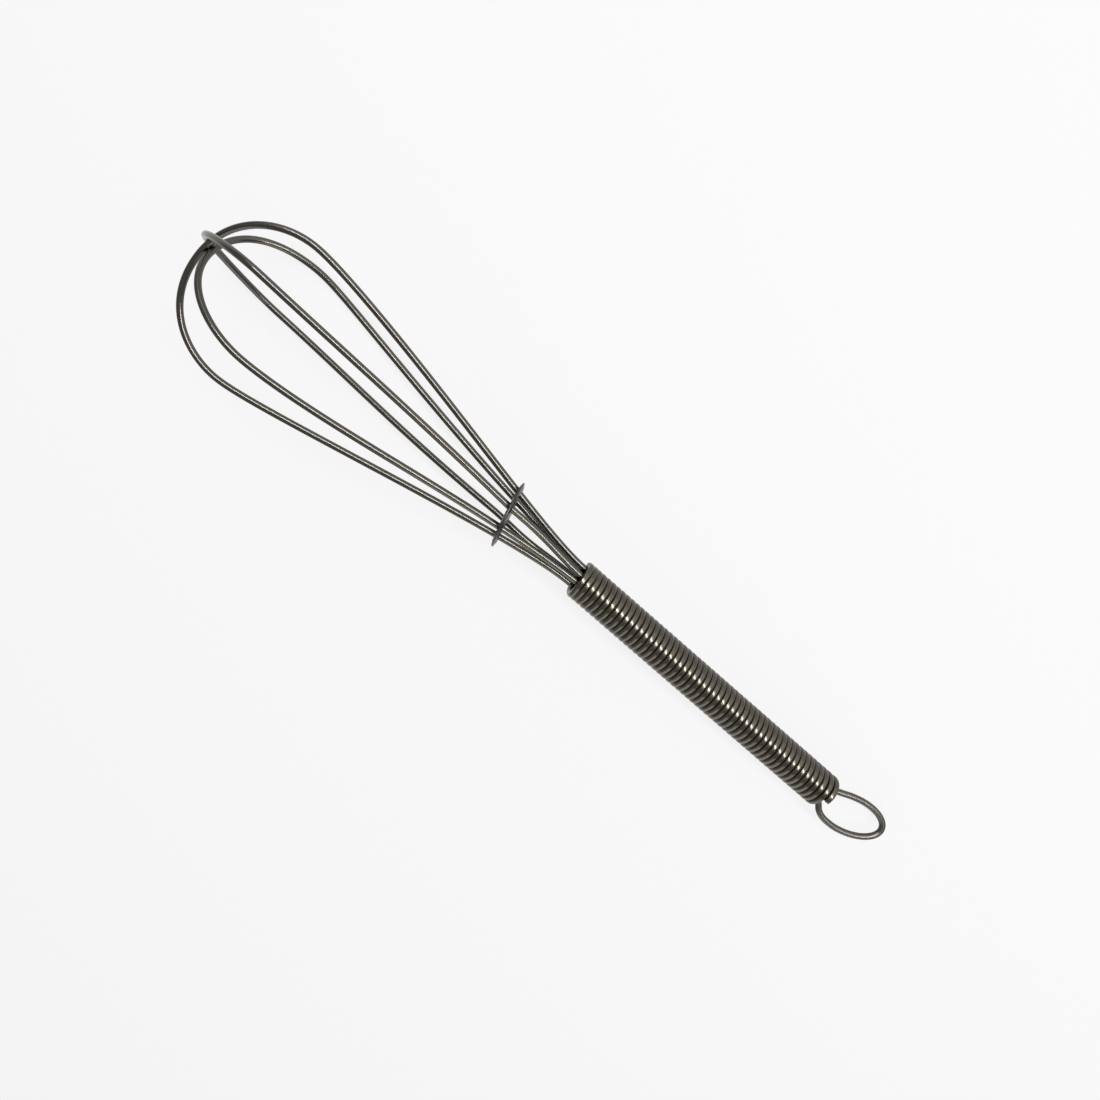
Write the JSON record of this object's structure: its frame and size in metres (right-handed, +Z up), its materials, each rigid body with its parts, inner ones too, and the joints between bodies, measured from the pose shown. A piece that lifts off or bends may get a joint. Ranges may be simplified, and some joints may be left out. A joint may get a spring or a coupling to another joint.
{
  "type": "wire whisk",
  "caption": "Small wire whisk: a balloon of crossed steel loops spread by a pierced disc, set in a handle wound from steel wire, with a hanging eye at its end.",
  "frame": {"origin": "on the table under the middle of the whisk's box, as it lies at rest", "axes": "+X along the whisk towards the balloon's tip, +Z up from the table"},
  "size_m": [0.1996, 0.036, 0.0296],
  "materials": {
    "balloon_wire": "polished, dark",
    "disc_plate": "dull, dark",
    "handle_wire": "polished, dark",
    "eye_wire": "polished, dark"
  },
  "bodies": {
    "root": {"inner_loop": "balloon_wire", "middle_loop": "balloon_wire", "outer_loop": "balloon_wire", "spreader_disc": "disc_plate", "handle_coil": "handle_wire", "hang_loop": "eye_wire"}
  },
  "joints": []
}
